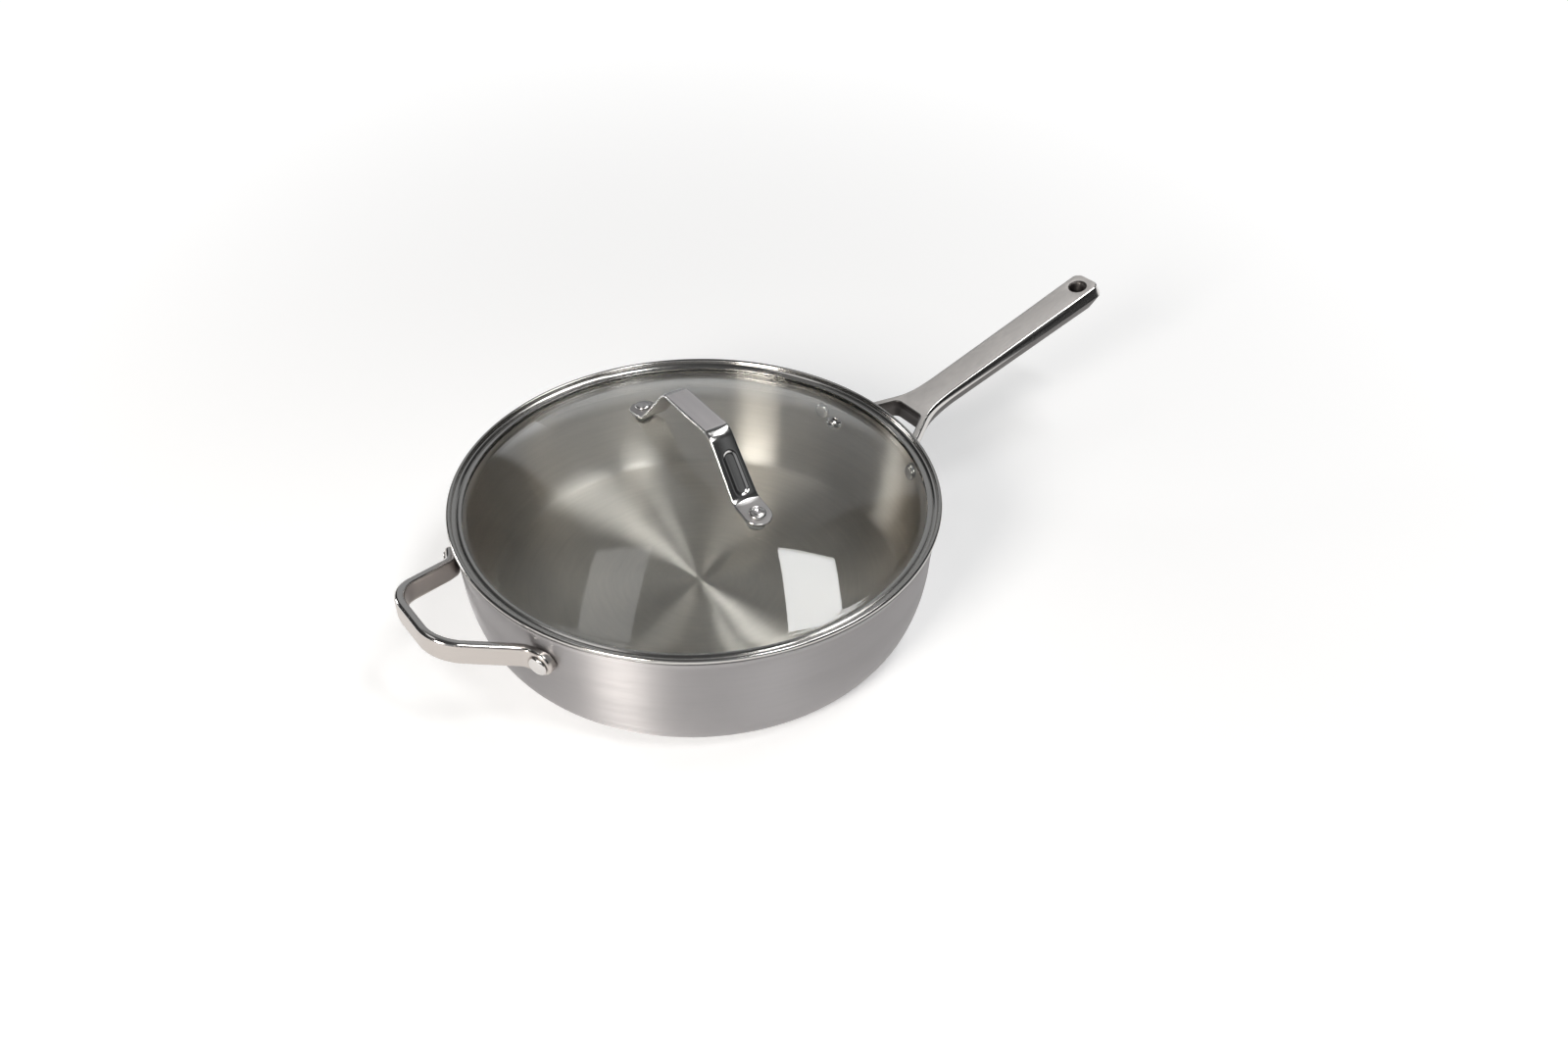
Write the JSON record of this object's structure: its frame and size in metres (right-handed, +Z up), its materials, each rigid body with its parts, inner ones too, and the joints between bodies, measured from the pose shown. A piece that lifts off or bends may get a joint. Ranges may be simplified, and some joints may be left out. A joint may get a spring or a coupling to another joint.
{
  "type": "deep frying pan with lid",
  "caption": "Deep round frying pan of layered steel with a forked long handle, a helper loop handle and a domed glass lid with a steel band, strap handle and steam vent.",
  "frame": {"origin": "centre of the flat base, on the surface the pan stands on", "axes": "+X along the long handle, +Z up along the pan's axis"},
  "size_m": [0.5158, 0.2872, 0.1312],
  "materials": {
    "outside_steel": "satin brushed round the wall",
    "inside_steel": "satin brushed in circles",
    "core_aluminium": "rolled, seen only at the rim edge",
    "handle_steel": "satin flat faces with polished edges",
    "bright_steel": "polished",
    "glass": "clear tempered",
    "soft_washer": "silicone"
  },
  "bodies": {
    "pan": {"pan_outer_layer": "outside_steel", "pan_aluminium_core": "core_aluminium", "pan_cooking_layer": "inside_steel", "long_handle": "handle_steel", "long_handle_rivet_left": "bright_steel", "long_handle_rivet_right": "bright_steel", "helper_handle": "handle_steel", "helper_handle_rivet_left": "bright_steel", "helper_handle_rivet_right": "bright_steel"},
    "lid": {"lid_glass": "glass", "lid_band": "bright_steel", "vent_eyelet": "bright_steel", "vent_washer": "bright_steel", "lid_handle": "handle_steel", "lid_handle_rivet_near": "bright_steel", "lid_handle_rivet_far": "bright_steel", "lid_outer_gasket_near": "soft_washer", "lid_outer_gasket_far": "soft_washer", "lid_inner_gasket_near": "soft_washer", "lid_inner_gasket_far": "soft_washer", "lid_inner_washer_near": "bright_steel", "lid_inner_washer_far": "bright_steel"}
  },
  "joints": [
    {"name": "lid_lift", "type": "slide", "parent": "pan", "child": "lid", "axis": [0, 0, 1], "range_m": [0, 0.15]}
  ]
}
